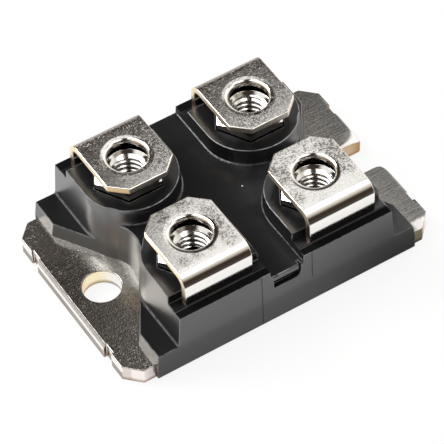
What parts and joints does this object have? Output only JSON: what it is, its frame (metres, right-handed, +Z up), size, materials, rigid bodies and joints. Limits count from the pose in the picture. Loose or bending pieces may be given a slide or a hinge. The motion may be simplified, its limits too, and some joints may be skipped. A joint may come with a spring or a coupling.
{
  "type": "schottky diode module",
  "caption": "Isolated power module: moulded black housing on a plated copper heat-sink plate, with folded screw terminals over captive nuts and soldered Schottky dies inside.",
  "frame": {"origin": "centre of the baseplate underside", "axes": "+X along the length towards the open slot, +Y across the width away from the gate mark, +Z up out of the terminals"},
  "size_m": [0.0382, 0.0252, 0.012],
  "materials": {
    "plate_nickel": "nickel-plated copper, rolled, with fine scratches",
    "housing_compound": "satin moulding compound with fine grain",
    "terminal_nickel": "bright nickel plate over copper, slight orange peel",
    "nut_steel": "nickel-plated steel",
    "solder": "dull solder",
    "copper": "bare copper, satin",
    "ceramic": "unglazed white ceramic",
    "silicon": "metallised silicon",
    "wire_aluminium": "drawn aluminium wire"
  },
  "bodies": {
    "root": {"baseplate": "plate_nickel", "moulded_body": "housing_compound", "terminal_1": "terminal_nickel", "terminal_2": "terminal_nickel", "terminal_3": "terminal_nickel", "terminal_4": "terminal_nickel", "terminal_nuts": "nut_steel", "base_solder": "solder", "substrate_bottom_copper": "copper", "ceramic_substrate": "ceramic", "cathode_pad_1": "copper", "anode_pad_1": "copper", "cathode_pad_2": "copper", "anode_pad_2": "copper", "die_solder_1": "solder", "die_solder_2": "solder", "schottky_die_1": "silicon", "schottky_die_2": "silicon", "bond_wires_1": "wire_aluminium", "bond_wires_2": "wire_aluminium", "terminal_solder": "solder"}
  },
  "joints": []
}
